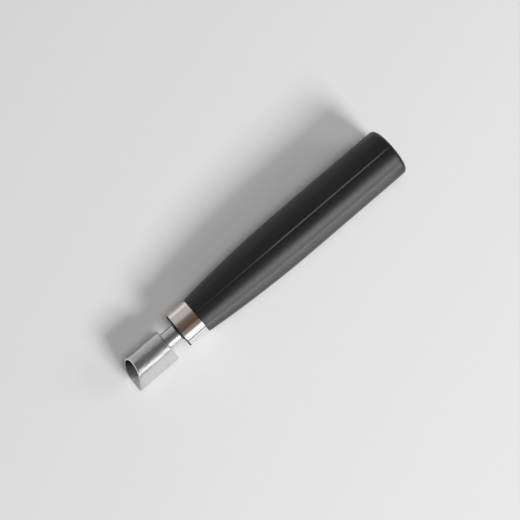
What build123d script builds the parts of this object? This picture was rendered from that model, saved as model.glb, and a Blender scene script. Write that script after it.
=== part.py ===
from build123d import *
import os
from math import asin, cos, radians, sin

# Clay shaper: a black handle, a pressed-on ferrule, a steel shank and a hollow
# teardrop cutter with a slanted open end.  Millimetres.
# The origin is the centre of the flat butt face.  +X runs along the tool's axis to
# the cutter, +Z is up as the tool lies on a bench, and +Y is the cutter's nose side.

# Handle
HANDLE_RADIUS = 10.0
HANDLE_LENGTH = 95.7
HANDLE_FRONT_RADIUS = 7.5
TAPER_LENGTH = 50.1
BUTT_ROUNDING = 1.8
FRONT_ROUNDING = 0.35

# Ferrule, and the tenon that it is pressed on to
FERRULE_RADIUS = 7.4
FERRULE_WALL = 0.35
FERRULE_LENGTH = 8.4
FERRULE_ROUNDING = 0.12
TENON_PROUD = 0.65
TENON_ROUNDING = 0.3

# Shank and its tang
SHANK_RADIUS = 3.55
SHANK_VISIBLE = 6.1
NECK_DEPTH = 5.0
TANG_RADIUS = 3.0
TANG_DEPTH = 30.0
TANG_CHAMFER = 0.6
GROOVE_COUNT = 5
GROOVE_PITCH = 4.5
GROOVE_WIDTH = 1.2
GROOVE_DEPTH = 0.3
SPIGOT_RADIUS = 2.5
GLUE_GAP = 0.15
GLUE_BELOW_TANG = 1.0
GLUE_BEAD = 0.5
BRAZE_BEAD = 0.45

# Cutter: a round tube drawn out to a nose on one side
CUTTER_RADIUS = 5.25
CUTTER_WALL = 0.8
CUTTER_LENGTH = 16.5
NOSE_REACH = 8.0
NOSE_RADIUS = 1.25
INNER_NOSE_REACH = 6.3
INNER_NOSE_RADIUS = 0.6
NOSE_DROP_DEG = 13.0
BACK_ROUNDING = 0.4
PLUG_LENGTH = 3.0

# Slant of the cutter's open end: how far the end moves along X for each mm of Y and Z
SLANT_Y = 0.21
SLANT_Z = -0.43

# Stations along the axis
TENON_RADIUS = FERRULE_RADIUS - FERRULE_WALL
TENON_END = HANDLE_LENGTH + FERRULE_LENGTH + TENON_PROUD
SHOULDER = TENON_END + SHANK_VISIBLE
NECK_START = TENON_END - NECK_DEPTH
TANG_START = TENON_END - TANG_DEPTH


def turned(points):
    """A solid turned about the X axis from a closed (x, radius) outline."""
    return revolve(make_face(Polyline(*points, close=True)), Axis.X)


def rod(start, end, radius):
    """A round bar on the X axis."""
    return turned([(start, 0), (end, 0), (end, radius), (start, radius)])


def edges_at(solid, station):
    """The edges that lie in the plane across the axis at this station."""
    return solid.edges().filter_by_position(Axis.X, station - 0.001, station + 0.001)


def bead(face, step, shaft_radius, size):
    """A ring with a hollow face in the corner between a shaft and a flat face.

    step is +1 where the ring stands on the +X side of the face and -1 on the other.
    """
    outer = (face, shaft_radius + size)
    tip = (face + step * size, shaft_radius)
    hollow = (face + step * 0.32 * size, shaft_radius + 0.32 * size)
    corner = (face, shaft_radius)
    outline = ThreePointArc(outer, hollow, tip) + Polyline(tip, corner, outer)
    return revolve(make_face(outline), Axis.X)


def bore_space():
    """The blind stepped hole in the handle that the tang is glued into."""
    neck = rod(NECK_START - GLUE_GAP, TENON_END, SHANK_RADIUS + GLUE_GAP)
    tang = rod(TANG_START - GLUE_BELOW_TANG, NECK_START, TANG_RADIUS + GLUE_GAP)
    return neck + tang


def make_handle():
    """Belly, long convex taper, and the tenon in one piece."""
    belly_end = HANDLE_LENGTH - TAPER_LENGTH
    belly_point = (belly_end, HANDLE_RADIUS)
    front_point = (HANDLE_LENGTH, HANDLE_FRONT_RADIUS)
    taper = TangentArc(belly_point, front_point, tangent=(1, 0))
    rest = Polyline(
        front_point,
        (HANDLE_LENGTH, TENON_RADIUS),
        (TENON_END, TENON_RADIUS),
        (TENON_END, 0),
        (0, 0),
        (0, HANDLE_RADIUS),
        belly_point,
    )
    body = revolve(make_face(taper + rest), Axis.X)
    body = fillet(edges_at(body, 0), BUTT_ROUNDING)
    shoulder_edges = edges_at(body, HANDLE_LENGTH).sort_by(SortBy.LENGTH)
    body = fillet(shoulder_edges[-1], FRONT_ROUNDING)
    body = fillet(edges_at(body, TENON_END), TENON_ROUNDING)
    return body - bore_space()


def make_ferrule():
    """Thin drawn tube, open at both ends."""
    start = HANDLE_LENGTH
    end = HANDLE_LENGTH + FERRULE_LENGTH
    inner = TENON_RADIUS
    tube = turned([(start, inner), (end, inner), (end, FERRULE_RADIUS), (start, FERRULE_RADIUS)])
    for station in (start, end):
        tube = fillet(edges_at(tube, station).sort_by(SortBy.LENGTH)[-1], FERRULE_ROUNDING)
    return tube


def make_shank():
    """Round bar: grooved tang in the handle, plain neck, and a spigot for the plug."""
    tang = rod(TANG_START, NECK_START, TANG_RADIUS)
    tang = chamfer(edges_at(tang, TANG_START), TANG_CHAMFER)
    for number in range(GROOVE_COUNT):
        start = TANG_START + GROOVE_PITCH * (number + 0.5)
        ring = rod(start, start + GROOVE_WIDTH, TANG_RADIUS + 1)
        ring -= rod(start, start + GROOVE_WIDTH, TANG_RADIUS - GROOVE_DEPTH)
        tang -= ring
    neck = rod(NECK_START, SHOULDER, SHANK_RADIUS)
    spigot = rod(SHOULDER, SHOULDER + PLUG_LENGTH, SPIGOT_RADIUS)
    return tang + neck + spigot


def make_glue(shank):
    """The glue round the tang, with the bead that it leaves at the shank's root."""
    return bore_space() - shank + bead(TENON_END, 1, SHANK_RADIUS, GLUE_BEAD)


def teardrop(round_radius, nose_reach, nose_radius):
    """Circle and small nose circle joined by their common tangents, across the axis."""
    nose_centre = nose_reach - nose_radius
    lean = asin((round_radius - nose_radius) / nose_centre)
    side_x = sin(lean)
    side_y = cos(lean)
    round_top = (round_radius * side_x, round_radius * side_y)
    round_bottom = (round_top[0], -round_top[1])
    nose_top = (nose_centre + nose_radius * side_x, nose_radius * side_y)
    nose_bottom = (nose_top[0], -nose_top[1])
    outline = ThreePointArc(round_top, (-round_radius, 0), round_bottom)
    outline += Line(round_bottom, nose_bottom)
    outline += ThreePointArc(nose_bottom, (nose_reach, 0), nose_top)
    outline += Line(nose_top, round_top)
    return make_face(outline)


def along_cutter(section, length):
    """The section carried along the axis from the cutter's shoulder, its nose turned down."""
    drop = radians(NOSE_DROP_DEG)
    across = Plane((SHOULDER, 0, 0), x_dir=(0, cos(drop), -sin(drop)), z_dir=(1, 0, 0))
    return extrude(across * section, length)


def outer_section():
    return teardrop(CUTTER_RADIUS, NOSE_REACH, NOSE_RADIUS)


def inner_section():
    return teardrop(CUTTER_RADIUS - CUTTER_WALL, INNER_NOSE_REACH, INNER_NOSE_RADIUS)


def make_cutter():
    """The tube, its back edge rounded and its front end cut off on the slant."""
    reach = CUTTER_LENGTH + NOSE_REACH
    body = along_cutter(outer_section(), reach)
    body = fillet(edges_at(body, SHOULDER), BACK_ROUNDING)
    body -= along_cutter(inner_section(), reach)
    slant = Plane((SHOULDER + CUTTER_LENGTH, 0, 0), z_dir=(1, -SLANT_Y, -SLANT_Z))
    return split(body, bisect_by=slant, keep=Keep.BOTTOM)


def make_plug():
    """The piece that closes the tube's back end and carries it on the shank."""
    hole = rod(SHOULDER, SHOULDER + PLUG_LENGTH, SPIGOT_RADIUS)
    return along_cutter(inner_section(), PLUG_LENGTH) - hole


def make_all():
    """Each separate piece under its own name."""
    shank = make_shank()
    return {
        "handle": make_handle(),
        "ferrule": make_ferrule(),
        "shank": shank,
        "tang_glue": make_glue(shank),
        "braze_bead": bead(SHOULDER, -1, SHANK_RADIUS, BRAZE_BEAD),
        "end_plug": make_plug(),
        "cutter_tube": make_cutter(),
    }


os.makedirs("parts", exist_ok=True)
for name, solid in make_all().items():
    export_step(solid, f"parts/{name}.step")
    size = solid.bounding_box().size
    print(f"{name}: {solid.volume:.1f} mm3, {size.X:.2f} x {size.Y:.2f} x {size.Z:.2f} mm")
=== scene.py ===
from math import asin, cos, degrees, pi, radians, sin, sqrt, tan

import bmesh
import bpy
from mathutils import Matrix, Vector, kdtree, noise


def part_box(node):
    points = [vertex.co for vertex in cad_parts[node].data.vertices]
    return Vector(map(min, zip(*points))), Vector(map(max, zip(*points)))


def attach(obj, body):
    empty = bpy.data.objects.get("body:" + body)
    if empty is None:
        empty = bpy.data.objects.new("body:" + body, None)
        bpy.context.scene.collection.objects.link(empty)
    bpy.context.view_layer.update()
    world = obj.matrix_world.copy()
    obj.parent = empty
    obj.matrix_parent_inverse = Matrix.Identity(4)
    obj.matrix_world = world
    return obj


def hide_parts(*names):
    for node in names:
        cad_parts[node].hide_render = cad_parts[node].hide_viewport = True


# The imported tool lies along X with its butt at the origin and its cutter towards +X.
# +Z is up and +Y is the side that the cutter's nose is on.  Everything is in metres.
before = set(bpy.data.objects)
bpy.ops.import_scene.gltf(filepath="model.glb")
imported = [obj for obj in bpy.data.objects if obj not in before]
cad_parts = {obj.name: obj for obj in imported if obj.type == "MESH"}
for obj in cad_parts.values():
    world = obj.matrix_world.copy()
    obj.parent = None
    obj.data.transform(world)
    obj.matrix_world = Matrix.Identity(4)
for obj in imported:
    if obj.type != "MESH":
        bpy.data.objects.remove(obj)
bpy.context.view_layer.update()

MM = 0.001

# Sizes that the frame's boxes give
HANDLE_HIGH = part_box("handle")[1]
FERRULE_LOW, FERRULE_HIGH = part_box("ferrule")
SHANK_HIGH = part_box("shank")[1]
GLUE_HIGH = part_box("tang_glue")[1]
BRAZE_LOW, BRAZE_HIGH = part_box("braze_bead")
PLUG_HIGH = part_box("end_plug")[1]
CUTTER_LOW, CUTTER_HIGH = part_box("cutter_tube")
HANDLE_RADIUS = HANDLE_HIGH.z
HANDLE_FRONT = FERRULE_LOW.x
TENON_END = HANDLE_HIGH.x
FERRULE_RADIUS = FERRULE_HIGH.z
FERRULE_FRONT = FERRULE_HIGH.x
SHANK_RADIUS = SHANK_HIGH.z
SHOULDER = CUTTER_LOW.x
CUTTER_RADIUS = CUTTER_HIGH.z
PLUG_FRONT = PLUG_HIGH.x

# Sizes inside those boxes
HANDLE_FRONT_RADIUS = 7.5 * MM
TAPER_LENGTH = 50.1 * MM
BUTT_ROUNDING = 1.8 * MM
FRONT_ROUNDING = 0.35 * MM
TENON_RADIUS = 7.05 * MM
TENON_ROUNDING = 0.3 * MM
BORE_RADIUS = 3.7 * MM
FERRULE_ROUNDING = 0.12 * MM
TANG_RADIUS = 3.0 * MM
SPIGOT_RADIUS = 2.5 * MM
CUTTER_WALL = 0.8 * MM
CUTTER_LENGTH = 16.5 * MM
NOSE_REACH = 8.0 * MM
NOSE_RADIUS = 1.25 * MM
INNER_NOSE_REACH = 6.3 * MM
INNER_NOSE_RADIUS = 0.6 * MM
NOSE_DROP = radians(13.0)
BACK_ROUNDING = 0.4 * MM
# How far the cutter's slanted end moves along X for each unit of Y and of Z
SLANT_Y = 0.21
SLANT_Z = -0.43
# Outlines of solid turned pieces stop this short of the axis
NEAR_AXIS = 0.05 * MM
# A piece that fits inside another is smaller by this much all round
PLAY = 0.02 * MM
# Beads reach this far into the faces that they stand on
SINK = 0.03 * MM
# Edges that turn more than this are drawn sharp
SHARP_DEG = 32.0
# A face of the cutter is in its bore where it faces less than this along X, and on its
# rim where it faces more than that along +X
BORE_FACING = 0.3
RIM_FACING = 0.8

# The mould line along the handle: a fine groove in a plane this far to the side of the
# axis.  It gets shallower near the ferrule and fades out at the butt.
SEAM_OFFSET = 0.68 * MM
SEAM_HALF_WIDTH = 0.85 * MM
SEAM_DEPTH = 0.29 * MM
SEAM_SHALLOW_SHARE = 0.4
SEAM_SHALLOW_START = HANDLE_FRONT - 45 * MM
SEAM_SHALLOW_END = HANDLE_FRONT - 5 * MM
SEAM_BUTT_START = 0.4 * MM
SEAM_BUTT_END = 2.4 * MM
# Degrees to each side of the groove's middle where the mesh has a vertex
SEAM_STEPS_DEG = (0.0, 0.4, 0.8, 1.2, 1.6, 2.0, 2.4, 2.8, 3.2, 3.7, 4.3, 5.0, 6.2)

# The brown band along the ferrule's top is tarnish and also a painted reflection, and its nose side
# turns less warm as a painted reflection
TARNISH_AND_REFLECTION_SIDE = 0.5 * MM
TARNISH_AND_REFLECTION_WIDTH = 2.4 * MM
PAINTED_COOL_START = 2.5 * MM
PAINTED_COOL_WIDTH = 3.0 * MM

# How the tool lies: its nose end is lower, so the floor rises towards the cutter
NOSE_DOWN = radians(1.6)

# Camera: above the tool, leaning a little towards its cutter.  The view's width is what
# it shows at the height of the tool's axis.
VIEW_WIDTH = 520 * 0.3738 * MM
CAMERA_DISTANCE = 520.0 * MM
CAMERA_LEAN = radians(3.8)
VIEW_X = 64.26 * MM
VIEW_Y = -0.41 * MM
TOOL_ANGLE = radians(40.55)

# The room: ambient light, backdrop, and the brightness that the gloss sees in each
# direction across the tool, in degrees from straight up towards +Y
AMBIENT = 0.065
BACKDROP = 0.72
ROOM_BRIGHTEST = 4.0
ROOM_BY_ANGLE = (
    (-100, 0.42), (-80, 0.47), (-64, 0.46), (-52, 0.44), (-42, 0.35), (-33, 0.18), (-24, 0.13),
    (6, 0.13), (16, 0.12), (26, 0.30), (34, 0.22), (40, 0.28), (46, 0.50), (52, 1.25),
    (58, 2.70), (64, 3.00), (70, 1.10), (76, 0.30), (82, 0.05), (88, 0.02), (94, 0.30),
)

# Lights: name, azimuth and tilt in degrees, then distance, width, height and radiance.
# The shadow lights light the tool and the floor, and the gloss doesn't see them.  The
# panels and cards are seen only as reflections, each group in its own pieces.
FAR = 1.64
NEAR = 0.035
SHADOW_LIGHTS = (
    ("main_softbox", 10, 55, FAR, 0.56, 0.50, 24.4),
    ("top_fill", 60, 6, FAR, 0.90, 0.90, 3.9),
    ("end_fill", 60, 64, FAR, 0.70, 0.50, 4.2),
)
HANDLE_PANELS = (
    ("handle_diffuser", 6, 52, FAR, 1.20, 0.84, 5.8),
    ("edge_strip", 0, 87, FAR, 1.60, 0.26, 15.0),
    ("far_strip", 180, 83, FAR, 1.60, 0.10, 1.8),
    ("side_card", 0, 80, NEAR, 0.13, 0.012, 2.0),
)
METAL_PANELS = (("metal_panel", 0, 68, FAR, 1.60, 0.76, 2.2),)
CUTTER_PANELS = (("cutter_card", 0, 80, NEAR, 0.13, 0.020, 0.20),)

# How the picture's brightest values are eased, as (scene value, shown value)
HIGHLIGHTS = ((0.8, 0.8), (0.9, 0.845), (1.0, 0.875), (1.3, 0.91), (2.0, 0.94), (3.0, 0.965))
HIGHLIGHT_TOP = 4.0


# ---------------------------------------------------------------- meshes

def arc(centre_x, centre_r, radius, start, end, steps):
    """Points (x, r) on an arc in the lathe's half plane; angles in degrees from +X."""
    points = []
    for i in range(steps + 1):
        a = radians(start + (end - start) * i / steps)
        points.append((centre_x + radius * cos(a), centre_r + radius * sin(a)))
    return points


def even(count):
    """Ring angles for lathe: the same even steps at any radius."""
    angles = [2 * pi * i / count for i in range(count)]
    return lambda r: angles


def mesh_object(name, vertices, faces):
    """A smooth-shaded closed mesh with its sharp edges marked."""
    mesh = bpy.data.meshes.new(name)
    mesh.from_pydata(vertices, [], faces)
    bm = bmesh.new()
    bm.from_mesh(mesh)
    bmesh.ops.remove_doubles(bm, verts=bm.verts, dist=1e-7)
    bmesh.ops.recalc_face_normals(bm, faces=bm.faces)
    bm.to_mesh(mesh)
    bm.free()
    mesh.shade_smooth()
    mesh.set_sharp_from_angle(angle=radians(SHARP_DEG))
    piece = bpy.data.objects.new(name, mesh)
    bpy.context.scene.collection.objects.link(piece)
    return piece


def from_rings(name, rings, closed):
    """A solid through rings of points: a closed loop of rings, or capped at both ends."""
    count = len(rings[0])
    vertices = [p for ring in rings for p in ring]
    faces = []
    last = len(rings) if closed else len(rings) - 1
    for i in range(last):
        a = i * count
        b = ((i + 1) % len(rings)) * count
        for j in range(count):
            k = (j + 1) % count
            faces.append((a + j, a + k, b + k, b + j))
    if not closed:
        for ring_start, ring in ((0, rings[0]), ((len(rings) - 1) * count, rings[-1])):
            centre = sum((Vector(p) for p in ring), Vector()) / count
            vertices.append(tuple(centre))
            tip = len(vertices) - 1
            for j in range(count):
                faces.append((ring_start + j, ring_start + (j + 1) % count, tip))
    return mesh_object(name, vertices, faces)


def normals_of(profile, closed):
    """The outline's normal (x, r) at each point, to the left of its direction."""
    result = []
    count = len(profile)
    for i in range(count):
        before = profile[i - 1] if (i or closed) else profile[i]
        after = profile[(i + 1) % count] if (i < count - 1 or closed) else profile[i]
        direction = Vector((after[0] - before[0], after[1] - before[1]))
        direction.normalize()
        result.append((-direction.y, direction.x))
    return result


def lathe(name, profile, angles, closed=False, relief=None):
    """A solid turned about X.  angles(r) gives a ring's angles from +Z towards +Y.

    relief(x, r, angle) moves a point along the outline's normal by that much.
    """
    normals = normals_of(profile, closed)
    rings = []
    for (x, r), (normal_x, normal_r) in zip(profile, normals):
        ring = []
        for a in angles(r):
            move = relief(x, r, a) if relief else 0.0
            px = x + normal_x * move
            pr = r + normal_r * move
            ring.append((px, pr * sin(a), pr * cos(a)))
        rings.append(ring)
    return from_rings(name, rings, closed)


def smooth(low, high, value):
    """0 up to low, 1 from high on, and a smooth step between them."""
    t = min(1.0, max(0.0, (value - low) / (high - low)))
    return t * t * (3 - 2 * t)


# ---------------------------------------------------------------- handle

def seam_angles(r):
    """Angles round the handle, close together at the mould line's two sides."""
    middle = -asin(min(1.0, SEAM_OFFSET / max(r, 3 * SEAM_OFFSET)))
    spread = sorted([-d for d in SEAM_STEPS_DEG[1:]] + list(SEAM_STEPS_DEG))
    edge = radians(SEAM_STEPS_DEG[-1])
    steps = 56
    result = []
    for side in (middle, middle + pi):
        result += [side + radians(d) for d in spread]
        start = side + edge
        gap = pi - 2 * edge
        result += [start + gap * i / steps for i in range(1, steps)]
    return result


def seam_relief(x, r, angle):
    """The mould line's groove, shallower towards the ferrule and fading out at the butt."""
    side = SEAM_OFFSET if cos(angle) > 0 else -SEAM_OFFSET
    off_plane = abs(r * sin(angle) + side)
    depth = SEAM_DEPTH * (1 - SEAM_SHALLOW_SHARE * smooth(SEAM_SHALLOW_START, SEAM_SHALLOW_END, x))
    depth *= smooth(SEAM_BUTT_START, SEAM_BUTT_END, x)
    groove = max(0.0, 1 - off_plane / SEAM_HALF_WIDTH)
    return -depth * smooth(0, 1, groove)


def taper_radius():
    """Radius of the arc that the handle's taper follows."""
    fall = HANDLE_RADIUS - HANDLE_FRONT_RADIUS
    return (TAPER_LENGTH ** 2 + fall ** 2) / (2 * fall)


def belly_and_taper():
    """Outline of the handle from its butt's centre to its shoulder, in (x, r)."""
    flat = HANDLE_RADIUS - BUTT_ROUNDING
    profile = [(0, flat * share) for share in (0.01, 0.04, 0.1, 0.2, 0.4, 0.6, 0.8, 0.95)]
    profile += arc(BUTT_ROUNDING, flat, BUTT_ROUNDING, 180, 90, 16)
    taper_start = HANDLE_FRONT - TAPER_LENGTH
    belly = taper_start - BUTT_ROUNDING
    belly_steps = 12
    profile += [(BUTT_ROUNDING + belly * i / belly_steps, HANDLE_RADIUS) for i in range(1, belly_steps)]
    radius = taper_radius()
    sweep = degrees(asin(TAPER_LENGTH / radius))
    taper = arc(taper_start, HANDLE_RADIUS - radius, radius, 90, 90 - sweep, 40)
    edge_start = HANDLE_FRONT - FRONT_ROUNDING
    profile += [p for p in taper if p[0] < edge_start - 0.1 * MM]
    edge_radius = HANDLE_FRONT_RADIUS - FRONT_ROUNDING
    near_taper_slope = 86
    return profile + arc(edge_start, edge_radius, FRONT_ROUNDING, near_taper_slope, 0, 8)


def tenon_and_bore():
    """Outline of the handle from its shoulder over the tenon and a short way into the bore."""
    bevel = 0.1 * MM
    corner_up = 0.01 * MM
    corner_along = 0.05 * MM
    bore_depth = 3 * MM
    tenon = TENON_RADIUS - PLAY
    profile = [(HANDLE_FRONT, TENON_RADIUS + corner_up), (HANDLE_FRONT + corner_along, tenon)]
    profile.append((FERRULE_FRONT - bevel, tenon))
    rounding = TENON_ROUNDING
    profile += arc(TENON_END - rounding, TENON_RADIUS - rounding, rounding, 90, 0, 8)
    profile += [(TENON_END, BORE_RADIUS + bevel), (TENON_END - bevel, BORE_RADIUS)]
    profile += [(TENON_END - bore_depth, BORE_RADIUS), (TENON_END - bore_depth, NEAR_AXIS)]
    return profile


def make_handle():
    profile = belly_and_taper() + tenon_and_bore()
    return lathe("handle_moulding", profile, seam_angles, relief=seam_relief)


# ---------------------------------------------------------------- metalwork

def make_ferrule():
    """Thin drawn tube with rounded lips, just clear of the handle's shoulder."""
    joint_gap = 0.04 * MM
    start = FERRULE_LOW.x + joint_gap
    end = FERRULE_FRONT
    inner = TENON_RADIUS
    outer = FERRULE_RADIUS
    lip = FERRULE_ROUNDING
    bevel_along = 0.05 * MM
    bevel_up = 0.06 * MM
    steps = 10
    profile = [(start + bevel_along, inner), (start, inner + bevel_up)]
    profile += arc(start + lip, outer - lip, lip, 180, 90, 6)
    profile += [(start + (end - start) * i / steps, outer) for i in range(1, steps)]
    profile += arc(end - lip, outer - lip, lip, 90, 0, 6)
    profile += [(end, inner + bevel_up), (end - bevel_along, inner)]
    return lathe("ferrule_tube", profile, even(192), closed=True)


def make_shank():
    """The bar from inside the handle to the end of its spigot in the plug."""
    hidden_length = 6 * MM
    cone_length = 1 * MM
    bevel = 0.15 * MM
    start = TENON_END - hidden_length
    end = PLUG_FRONT
    profile = [(start, NEAR_AXIS), (start, TANG_RADIUS), (start + cone_length, SHANK_RADIUS)]
    steps = 12
    visible = SHOULDER - TENON_END
    profile += [(TENON_END + visible * i / steps, SHANK_RADIUS) for i in range(steps + 1)]
    profile += [(SHOULDER, SPIGOT_RADIUS), (end - bevel, SPIGOT_RADIUS)]
    profile += [(end, SPIGOT_RADIUS - bevel), (end, NEAR_AXIS)]
    return lathe("shank_bar", profile, even(144))


def bead_profile(face, step, size):
    """Closed outline of a hollow-faced ring in the corner of the shank and a flat face.

    step is 1 where the ring stands on the +X side of the face and -1 on the other.
    """
    radius = SHANK_RADIUS - SINK
    points = [(face - step * SINK, radius), (face - step * SINK, SHANK_RADIUS + size)]
    steps = 10
    for i in range(steps + 1):
        a = radians(90 * i / steps)
        points.append((face + step * size * (1 - cos(a)), SHANK_RADIUS + size * (1 - sin(a))))
    points.append((face + step * size, radius))
    if step > 0:
        points.reverse()
    return points


def uneven(seed, amount, times):
    """Relief that varies slowly round a ring, as solder or glue does."""
    def relief(x, r, angle):
        place = Vector((sin(angle) * times, cos(angle) * times, seed))
        return amount * noise.noise(place)
    return relief


def make_glue():
    size = GLUE_HIGH.x - TENON_END
    profile = bead_profile(TENON_END, 1, size)
    return lathe("glue_bead", profile, even(120), closed=True, relief=uneven(3.0, 0.05 * MM, 1.7))


def make_braze():
    size = BRAZE_HIGH.x - BRAZE_LOW.x
    profile = bead_profile(SHOULDER, -1, size)
    return lathe("braze_ring", profile, even(120), closed=True, relief=uneven(7.0, 0.04 * MM, 2.3))


# ---------------------------------------------------------------- cutter

def teardrop(round_radius, nose_reach, nose_radius):
    """Points (y, z) round the section: round side, flat, nose, flat.

    Each section has the same number of points, so that any two can be joined.
    """
    nose_centre = nose_reach - nose_radius
    lean = asin((round_radius - nose_radius) / nose_centre)
    reach = radians(90) - lean
    round_steps, flat_steps, nose_steps = 96, 16, 20
    points = []
    sweep = 2 * pi - 2 * reach
    for i in range(round_steps):
        a = reach + sweep * i / round_steps
        points.append((round_radius * cos(a), round_radius * sin(a)))
    ends = []
    for side in (-1, 1):
        foot = (round_radius * cos(reach), side * round_radius * sin(reach))
        tip = (nose_centre + nose_radius * cos(reach), side * nose_radius * sin(reach))
        ends.append((foot, tip))
    (low_foot, low_tip), (high_foot, high_tip) = ends
    for i in range(flat_steps):
        t = i / flat_steps
        points.append(tuple(low_foot[k] + (low_tip[k] - low_foot[k]) * t for k in (0, 1)))
    for i in range(nose_steps):
        a = -reach + 2 * reach * i / nose_steps
        points.append((nose_centre + nose_radius * cos(a), nose_radius * sin(a)))
    for i in range(flat_steps):
        t = i / flat_steps
        points.append(tuple(high_tip[k] + (high_foot[k] - high_tip[k]) * t for k in (0, 1)))
    c, s = cos(NOSE_DROP), sin(NOSE_DROP)
    return [(p * c + q * s, -p * s + q * c) for p, q in points]


def outer_section(inset):
    return teardrop(CUTTER_RADIUS - inset, NOSE_REACH - inset, NOSE_RADIUS - inset)


def inner_section(outset):
    radius = CUTTER_RADIUS - CUTTER_WALL + outset
    return teardrop(radius, INNER_NOSE_REACH + outset, INNER_NOSE_RADIUS + outset)


def flat_ring(section, x):
    return [(x, y, z) for y, z in section]


def slanted_ring(section, share, behind=0.0):
    """A ring at this share of the way from the shoulder to the slanted end, less behind."""
    ring = []
    for y, z in section:
        length = CUTTER_LENGTH + SLANT_Y * y + SLANT_Z * z - behind
        ring.append((SHOULDER + length * share, y, z))
    return ring


def make_cutter():
    """The tube: rounded back edge, outside, rounded rim, bore, and flat back."""
    rings = []
    back_steps = 6
    for i in range(back_steps + 1):
        a = radians(90 * i / back_steps)
        inset = BACK_ROUNDING * (1 - sin(a))
        rings.append(flat_ring(outer_section(inset), SHOULDER + BACK_ROUNDING * (1 - cos(a))))
    edge = 0.07 * MM
    rounding = 0.30 * MM
    rounding_steps = 5
    steps = 16
    start_share = 0.06
    for i in range(steps + 1):
        share = start_share + (1 - start_share) * i / steps
        rings.append(slanted_ring(outer_section(0), share, rounding))
    for i in range(1, rounding_steps + 1):
        a = radians(90 * i / rounding_steps)
        rings.append(slanted_ring(outer_section(rounding * (1 - cos(a))), 1, rounding * (1 - sin(a))))
    rings.append(slanted_ring(inner_section(edge), 1))
    shoulder_out = 0.4 * edge
    shoulder_back = 0.25 * edge
    rings.append(slanted_ring(inner_section(shoulder_out), 1, shoulder_back))
    for i in range(steps + 1):
        rings.append(slanted_ring(inner_section(0), 1 - i / (steps + 1), edge))
    rings.append(flat_ring(inner_section(0), SHOULDER))
    return from_rings("cutter_shell", rings, closed=True)


def finish_cutter(cutter, lining, rim):
    """Give the tube's inner faces the finish of its bore, and its cut end that of its rim."""
    cutter.data.materials.append(lining)
    cutter.data.materials.append(rim)
    middle_radius = CUTTER_RADIUS - CUTTER_WALL / 2
    middle_reach = (NOSE_REACH + INNER_NOSE_REACH) / 2
    section = teardrop(middle_radius, middle_reach, (NOSE_RADIUS + INNER_NOSE_RADIUS) / 2)
    tree = kdtree.KDTree(len(section))
    for i, (y, z) in enumerate(section):
        tree.insert((0, y, z), i)
    tree.balance()
    for face in cutter.data.polygons:
        y, z = face.center.y, face.center.z
        near = tree.find((0, y, z))[0]
        inside = y * y + z * z < near.y ** 2 + near.z ** 2
        if inside and abs(face.normal.x) < BORE_FACING:
            face.material_index = 1
        elif face.normal.x > RIM_FACING:
            face.material_index = 2


def make_plug():
    """Plug in the back of the tube, with a hole for the shank's spigot."""
    edge = 0.12 * MM
    hole_play = 0.005 * MM
    hole = SPIGOT_RADIUS + hole_play
    section = inner_section(-PLAY)
    bevelled = inner_section(-PLAY - edge)
    back = SHOULDER
    front = PLUG_FRONT
    hole_ring = []
    for y, z in section:
        length = sqrt(y * y + z * z)
        hole_ring.append((y * hole / length, z * hole / length))
    rings = [flat_ring(hole_ring, back), flat_ring(bevelled, back), flat_ring(section, back + edge)]
    rings += [flat_ring(section, front - edge), flat_ring(bevelled, front), flat_ring(hole_ring, front)]
    return from_rings("plug_disc", rings, closed=True)


# ---------------------------------------------------------------- materials

# The colour sockets of a Mix node that blends colours
MIX_FIRST = 6
MIX_SECOND = 7
MIX_RESULT = 2


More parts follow.
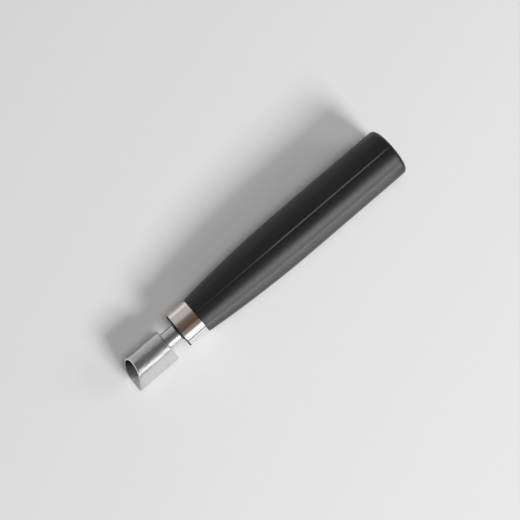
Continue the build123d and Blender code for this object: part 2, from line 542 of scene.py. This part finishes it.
class Nodes:
    """Short calls for building one material's node tree."""

    def __init__(self, name):
        self.material = bpy.data.materials.new(name)
        self.material.use_nodes = True
        self.tree = self.material.node_tree
        self.tree.nodes.clear()
        self.output = self.tree.nodes.new("ShaderNodeOutputMaterial")
        self.shader = self.tree.nodes.new("ShaderNodeBsdfPrincipled")
        self.link(self.shader.outputs[0], self.output.inputs["Surface"])
        self.place = self.tree.nodes.new("ShaderNodeTexCoord").outputs["Object"]

    def link(self, source, target):
        self.tree.links.new(source, target)

    def set(self, **values):
        for name, value in values.items():
            self.shader.inputs[name.replace("_", " ")].default_value = value

    def drive(self, name, source):
        self.link(source, self.shader.inputs[name])

    def noise(self, scale, stretch=(1, 1, 1), detail=3.0):
        """Noise with features about 1 / scale metres across, longer where stretch is small."""
        mapping = self.tree.nodes.new("ShaderNodeMapping")
        mapping.inputs["Scale"].default_value = stretch
        self.link(self.place, mapping.inputs["Vector"])
        node = self.tree.nodes.new("ShaderNodeTexNoise")
        node.inputs["Scale"].default_value = scale
        node.inputs["Detail"].default_value = detail
        node.inputs["Roughness"].default_value = 0.55
        self.link(mapping.outputs[0], node.inputs["Vector"])
        return node.outputs["Fac"]

    def ramp(self, source, *stops):
        """A colour or a grey by source, through stops of (position, value)."""
        node = self.tree.nodes.new("ShaderNodeValToRGB")
        elements = node.color_ramp.elements
        while len(elements) < len(stops):
            elements.new(0.5)
        for element, (position, value) in zip(elements, stops):
            element.position = position
            colour = value if isinstance(value, tuple) else (value,) * 3
            element.color = (*colour, 1.0)
        self.link(source, node.inputs["Fac"])
        return node.outputs["Color"]

    def mix(self, fac, first, second):
        """first where fac is 0, second where it is 1; each a colour or a socket."""
        node = self.tree.nodes.new("ShaderNodeMix")
        node.data_type = "RGBA"
        for value, number in ((fac, 0), (first, MIX_FIRST), (second, MIX_SECOND)):
            socket = node.inputs[number]
            if isinstance(value, (int, float)):
                socket.default_value = value
            elif isinstance(value, tuple):
                socket.default_value = (*value, 1.0)
            else:
                self.link(value, socket)
        return node.outputs[MIX_RESULT]

    def math(self, operation, first, second=0.0, clamp=False):
        node = self.tree.nodes.new("ShaderNodeMath")
        node.operation = operation
        node.use_clamp = clamp
        for value, socket in ((first, node.inputs[0]), (second, node.inputs[1])):
            if isinstance(value, (int, float)):
                socket.default_value = value
            else:
                self.link(value, socket)
        return node.outputs[0]

    def axis(self, name):
        node = self.tree.nodes.new("ShaderNodeSeparateXYZ")
        self.link(self.place, node.inputs[0])
        return node.outputs[name]

    def side(self):
        return self.axis("Y")

    def up(self):
        return self.axis("Z")

    def bump(self, height, distance, strength=1.0):
        """Relief of this distance in metres for a height of 1, blended in by strength."""
        node = self.tree.nodes.new("ShaderNodeBump")
        node.inputs["Strength"].default_value = strength
        node.inputs["Distance"].default_value = distance
        self.link(height, node.inputs["Height"])
        self.drive("Normal", node.outputs[0])


def satin_black():
    """Moulded plastic: near-black, a fine skin, slight polish and flow marks along it."""
    m = Nodes("satin_black_plastic")
    m.set(Metallic=0.0, IOR=1.5, Specular_IOR_Level=0.3)
    skin = m.noise(2600.0, detail=2.0)
    cloud = m.noise(90.0, stretch=(0.35, 1, 1), detail=4.0)
    m.drive("Base Color", m.ramp(cloud, (0.3, (0.009, 0.009, 0.0095)), (0.7, (0.013, 0.013, 0.0137))))
    streak = m.noise(900.0, stretch=(0.03, 1, 1), detail=3.0)
    rough = m.math("ADD", m.math("MULTIPLY", streak, 0.06), m.math("MULTIPLY", cloud, 0.10))
    m.drive("Roughness", m.math("ADD", rough, 0.27))
    m.bump(m.math("ADD", m.math("MULTIPLY", skin, 0.5), m.math("MULTIPLY", streak, 0.5)), 0.000012)
    return m.material


def warm_nickel():
    """Bright plating with a warm cast, with turning marks and smears.  Browner along the top as tarnish
    and painted reflection, and less warm on the nose side as painted reflection.
    """
    m = Nodes("warm_nickel_plate")
    m.set(Metallic=1.0)
    rings = m.noise(5200.0, stretch=(1, 0.02, 0.02), detail=2.0)
    smear = m.noise(260.0, detail=4.0)
    plain = m.ramp(smear, (0.3, (0.93, 0.83, 0.75)), (0.7, (0.97, 0.88, 0.80)))
    # Tarnish and painted reflection: a brown band along the top
    across = m.math("ADD", m.side(), m.math("MULTIPLY", m.math("SUBTRACT", smear, 0.5), 0.0016))
    near = m.math("ABSOLUTE", m.math("SUBTRACT", across, TARNISH_AND_REFLECTION_SIDE))
    tarnish_and_reflection = m.math("SUBTRACT", 1.0, m.math("DIVIDE", near, TARNISH_AND_REFLECTION_WIDTH), clamp=True)
    tarnish_and_reflection = m.math("MULTIPLY", tarnish_and_reflection, m.math("GREATER_THAN", m.up(), 0.0))
    # Painted reflection: the nose side turns less warm
    painted_cool_side = m.math("DIVIDE", m.math("SUBTRACT", m.side(), PAINTED_COOL_START), PAINTED_COOL_WIDTH, clamp=True)
    plain = m.mix(painted_cool_side, plain, (0.96, 0.93, 0.90))
    m.drive("Base Color", m.mix(tarnish_and_reflection, plain, (0.78, 0.44, 0.30)))
    rough = m.math("ADD", m.math("MULTIPLY", smear, 0.06), m.math("MULTIPLY", rings, 0.04))
    m.drive("Roughness", m.math("ADD", rough, 0.05))
    m.bump(m.math("ADD", m.math("MULTIPLY", rings, 0.3), smear), 0.000006)
    return m.material


def polished_steel(name, radius, along, across, base_rough, wave):
    """Steel with fine marks: along stretches them in X, across round the axis.

    Painted shade: the side away from the nose, near its full radius, is darkened towards grey.
    """
    m = Nodes(name)
    m.set(Metallic=1.0)
    lines = m.noise(2600.0, stretch=(along, across, across), detail=3.0)
    blotch = m.noise(420.0, detail=4.0)
    unshaded_steel = m.ramp(blotch, (0.3, (0.67, 0.67, 0.67)), (0.7, (0.76, 0.76, 0.76)))
    # Painted shade on the far flank, the side facing the tool's shadow on the floor
    shade_side = m.math("ADD", m.math("DIVIDE", m.side(), -radius), m.math("MULTIPLY", blotch, 0.2))
    m.drive("Base Color", m.mix(m.ramp(shade_side, (0.86, 0.0), (1.06, 1.0)), unshaded_steel, (0.40, 0.40, 0.40)))
    rough = m.math("ADD", m.math("MULTIPLY", blotch, 0.10), m.math("MULTIPLY", lines, 0.06))
    m.drive("Roughness", m.math("ADD", rough, base_rough))
    dimples = m.noise(950.0, stretch=(0.6, 1, 1), detail=2.0)
    height = m.math("ADD", m.math("MULTIPLY", lines, 0.06), m.math("MULTIPLY", dimples, 2.8))
    m.bump(m.math("ADD", height, blotch), wave)
    return m.material


def bore_steel():
    """The tube's bore: left as drawn, so duller, with scratches along it.

    Its far side is painted shade, nearly black, lightening to plain steel near the nose.
    """
    m = Nodes("bore_steel")
    m.set(Metallic=0.5)
    lines = m.noise(3000.0, stretch=(0.06, 1, 1), detail=4.0)
    blotch = m.noise(500.0, detail=4.0)
    stain = m.math("MULTIPLY", lines, blotch)
    steel = m.ramp(stain, (0.15, (0.45, 0.45, 0.45)), (0.42, (0.95, 0.95, 0.94)))
    across = m.math("DIVIDE", m.math("ADD", m.side(), CUTTER_RADIUS), 2 * CUTTER_RADIUS, clamp=True)
    # Painted shade in the bore: nearly black on its far side, lighter towards the nose
    shade_far_side = ((0.20, 0.0), (0.32, 0.05), (0.46, 0.22))
    shade_near_side = ((0.60, 0.33), (0.70, 0.40), (0.76, 0.88))
    painted_shade = m.ramp(across, *shade_far_side, *shade_near_side)
    m.drive("Base Color", m.mix(painted_shade, (0.02, 0.02, 0.02), steel))
    m.drive("Roughness", m.ramp(blotch, (0.3, 0.34), (0.7, 0.48)))
    m.bump(lines, 0.00002)
    return m.material


def rim_steel():
    """The mouth's cut end: painted shade makes it darker towards its lower edge and lighter on top, and
    it is darker across its nose side.
    """
    m = Nodes("rim_steel")
    m.set(Metallic=1.0)
    lines = m.noise(2600.0, detail=3.0)
    blotch = m.noise(700.0, detail=4.0)
    # Painted shade: darker towards the lower edge, lighter on top
    height = m.math("ADD", m.up(), m.math("MULTIPLY", m.math("SUBTRACT", blotch, 0.5), 0.003))
    share = m.math("DIVIDE", m.math("ADD", height, CUTTER_RADIUS), 2 * CUTTER_RADIUS, clamp=True)
    steel = m.ramp(share, (0.04, 0.15), (0.14, 0.20), (0.26, 0.50), (0.55, 0.66), (0.75, 0.74))
    # Darker across the nose side
    across = m.math("DIVIDE", m.side(), NOSE_REACH, clamp=True)
    nose_darkening = m.ramp(across, (0.20, 0.0), (0.38, 0.7), (0.80, 0.7), (0.95, 0.3))
    m.drive("Base Color", m.mix(nose_darkening, steel, (0.28, 0.28, 0.28)))
    m.drive("Roughness", m.ramp(blotch, (0.3, 0.22), (0.7, 0.34)))
    m.bump(m.math("ADD", m.math("MULTIPLY", lines, 0.3), blotch), 0.00003)
    return m.material


def dark_glue():
    """Cured epoxy: nearly black, glossy and a little cloudy."""
    m = Nodes("dark_epoxy")
    m.set(Metallic=0.0, IOR=1.5)
    cloud = m.noise(900.0, detail=3.0)
    m.drive("Base Color", m.ramp(cloud, (0.3, (0.012, 0.012, 0.014)), (0.7, (0.030, 0.027, 0.027))))
    m.drive("Roughness", m.ramp(cloud, (0.3, 0.22), (0.7, 0.36)))
    m.bump(cloud, 0.00002)
    return m.material


def silver_braze():
    """Silver braze, cleaned up: slightly yellower and duller than the steel."""
    m = Nodes("silver_braze")
    m.set(Metallic=1.0)
    cloud = m.noise(1400.0, detail=4.0)
    m.drive("Base Color", m.ramp(cloud, (0.3, (0.60, 0.59, 0.57)), (0.7, (0.72, 0.71, 0.69))))
    m.drive("Roughness", m.ramp(cloud, (0.3, 0.24), (0.7, 0.40)))
    m.bump(cloud, 0.00002)
    return m.material


# ---------------------------------------------------------------- stage

def floor_height(x):
    """Height of the floor under the axis at x: it touches the taper's underside."""
    radius = taper_radius()
    touch_x = HANDLE_FRONT - TAPER_LENGTH + radius * sin(NOSE_DOWN)
    touch_z = -(HANDLE_RADIUS - radius * (1 - cos(NOSE_DOWN)))
    return touch_z + (x - touch_x) * tan(NOSE_DOWN)


def paper():
    """Plain pale paper with a faint grain."""
    m = Nodes("pale_paper")
    m.set(Metallic=0.0, IOR=1.45, Specular_IOR_Level=0.1)
    grain = m.noise(900.0, detail=3.0)
    m.drive("Base Color", m.ramp(grain, (0.3, 0.795), (0.7, 0.805)))
    m.drive("Roughness", m.ramp(grain, (0.3, 0.60), (0.7, 0.64)))
    m.bump(grain, 0.00003, 0.3)
    return m.material


def make_floor():
    reach = 3.0
    corners = [(-reach, -reach), (reach, -reach), (reach, reach), (-reach, reach)]
    vertices = [(VIEW_X + x, y, floor_height(VIEW_X + x)) for x, y in corners]
    mesh = bpy.data.meshes.new("floor")
    mesh.from_pydata(vertices, [], [(0, 1, 2, 3)])
    floor = bpy.data.objects.new("floor", mesh)
    bpy.context.scene.collection.objects.link(floor)
    floor.data.materials.append(paper())


def camera_axes():
    """The camera's right, up and back directions in the frame."""
    lean = Matrix.Rotation(CAMERA_LEAN, 3, "Y")
    right = lean @ Vector((-cos(TOOL_ANGLE), sin(TOOL_ANGLE), 0))
    up = lean @ Vector((-sin(TOOL_ANGLE), -cos(TOOL_ANGLE), 0))
    return right, up, right.cross(up)


def make_camera():
    data = bpy.data.cameras.new("camera")
    data.sensor_width = 36.0
    data.lens = data.sensor_width * CAMERA_DISTANCE / VIEW_WIDTH
    data.clip_start = 0.01
    data.clip_end = 20.0
    camera = bpy.data.objects.new("camera", data)
    bpy.context.scene.collection.objects.link(camera)
    right, up, back = camera_axes()
    rotation = Matrix((right, up, back)).transposed().to_4x4()
    place = Vector((VIEW_X, VIEW_Y, 0)) + back * CAMERA_DISTANCE
    camera.matrix_world = Matrix.Translation(place) @ rotation
    bpy.context.scene.camera = camera


def softbox(name, azimuth, tilt, distance, width, height, radiance):
    """A rectangular light facing the tool.

    azimuth is in degrees from +Y towards -X, and tilt in degrees from straight up.
    """
    a, t = radians(azimuth), radians(tilt)
    target = Vector((VIEW_X, 0, -HANDLE_RADIUS))
    direction = Vector((-sin(a) * sin(t), cos(a) * sin(t), cos(t)))
    data = bpy.data.lights.new(name, "AREA")
    data.shape = "RECTANGLE"
    data.size = width
    data.size_y = height
    data.energy = radiance * pi * width * height
    light = bpy.data.objects.new(name, data)
    bpy.context.scene.collection.objects.link(light)
    light.visible_camera = False
    light.location = target + direction * distance
    light.rotation_mode = "QUATERNION"
    light.rotation_quaternion = direction.to_track_quat("Z", "Y")
    return light


def room_colour(tree):
    """The room's brightness by its direction across the tool, from ROOM_BY_ANGLE."""
    coordinates = tree.nodes.new("ShaderNodeTexCoord")
    split = tree.nodes.new("ShaderNodeSeparateXYZ")
    angle = tree.nodes.new("ShaderNodeMath")
    angle.operation = "ARCTAN2"
    share = tree.nodes.new("ShaderNodeMapRange")
    share.inputs["From Min"].default_value = -pi
    share.inputs["From Max"].default_value = pi
    ramp = tree.nodes.new("ShaderNodeValToRGB")
    elements = ramp.color_ramp.elements
    while len(elements) < len(ROOM_BY_ANGLE):
        elements.new(0.5)
    for element, (degrees_from_up, brightness) in zip(elements, ROOM_BY_ANGLE):
        value = brightness / ROOM_BRIGHTEST
        element.position = (degrees_from_up + 180) / 360
        element.color = (value, value, value, 1)
    strength = tree.nodes.new("ShaderNodeVectorMath")
    strength.operation = "SCALE"
    strength.inputs["Scale"].default_value = ROOM_BRIGHTEST
    link = tree.links.new
    link(coordinates.outputs["Generated"], split.inputs[0])
    link(split.outputs["Y"], angle.inputs[0])
    link(split.outputs["Z"], angle.inputs[1])
    link(angle.outputs[0], share.inputs["Value"])
    link(share.outputs[0], ramp.inputs["Fac"])
    link(ramp.outputs["Color"], strength.inputs[0])
    return strength.outputs[0]


def make_world():
    """Room light: an even ambient, a pale backdrop, and panels by direction for the gloss."""
    world = bpy.data.worlds.new("studio")
    bpy.context.scene.world = world
    world.use_nodes = True
    world.cycles.sampling_method = "NONE"
    tree = world.node_tree
    tree.nodes.clear()
    output = tree.nodes.new("ShaderNodeOutputWorld")
    background = tree.nodes.new("ShaderNodeBackground")
    rays = tree.nodes.new("ShaderNodeLightPath")
    colour = room_colour(tree)
    for kind, level in (("Is Diffuse Ray", AMBIENT), ("Is Camera Ray", BACKDROP)):
        choose = tree.nodes.new("ShaderNodeMix")
        choose.data_type = "RGBA"
        choose.inputs[MIX_SECOND].default_value = (level, level, level, 1)
        tree.links.new(rays.outputs[kind], choose.inputs[0])
        tree.links.new(colour, choose.inputs[MIX_FIRST])
        colour = choose.outputs[MIX_RESULT]
    tree.links.new(colour, background.inputs["Color"])
    tree.links.new(background.outputs[0], output.inputs["Surface"])


def gloss_only(panels, pieces):
    """Lights that show only as reflections in these pieces."""
    for panel in panels:
        light = softbox(*panel)
        light.visible_diffuse = False
        receivers = bpy.data.collections.new(light.name + "_receivers")
        for piece in pieces:
            receivers.objects.link(piece)
        light.light_linking.receiver_collection = receivers


def make_lights(handle, bright_metal, cutter):
    """Fills and a softbox that cast the shadow, and panels that only the gloss shows."""
    for shadow_light in SHADOW_LIGHTS:
        softbox(*shadow_light).visible_glossy = False
    gloss_only(HANDLE_PANELS, [handle])
    gloss_only(METAL_PANELS, bright_metal)
    gloss_only(CUTTER_PANELS, [cutter])


def soft_highlights():
    """Ease the brightest values towards white, as a camera does."""
    view = bpy.context.scene.view_settings
    view.view_transform = "Standard"
    view.use_curve_mapping = True
    mapping = view.curve_mapping
    mapping.white_level = (HIGHLIGHT_TOP,) * 3
    all_channels = 3
    curve = mapping.curves[all_channels]
    for scene_value, shown_value in HIGHLIGHTS:
        curve.points.new(scene_value / HIGHLIGHT_TOP, shown_value)
    for point in curve.points:
        point.handle_type = "VECTOR"
    mapping.update()


# ---------------------------------------------------------------- assembly

def place(piece, node, slot, material):
    """Let a finished piece stand for its CAD node."""
    piece.data.materials.append(material)
    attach(piece, "root")
    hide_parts(node)


make_camera()
make_floor()
make_world()
handle = make_handle()
ferrule = make_ferrule()
shank = make_shank()
glue = make_glue()
braze = make_braze()
plug = make_plug()
cutter = make_cutter()
cutter_steel = polished_steel("drawn_steel", CUTTER_RADIUS, 0.04, 1, 0.22, 0.00005)
shank_steel = polished_steel("turned_steel", SHANK_RADIUS, 1, 0.03, 0.18, 0.000006)
place(handle, "handle", "handle_black", satin_black())
place(ferrule, "ferrule", "ferrule_nickel", warm_nickel())
place(shank, "shank", "shank_steel", shank_steel)
place(glue, "tang_glue", "dark_glue", dark_glue())
place(braze, "braze_bead", "braze", silver_braze())
place(plug, "end_plug", "cutter_steel", cutter_steel)
place(cutter, "cutter_tube", "cutter_steel", cutter_steel)
finish_cutter(cutter, bore_steel(), rim_steel())
make_lights(handle, [ferrule, shank], cutter)
soft_highlights()
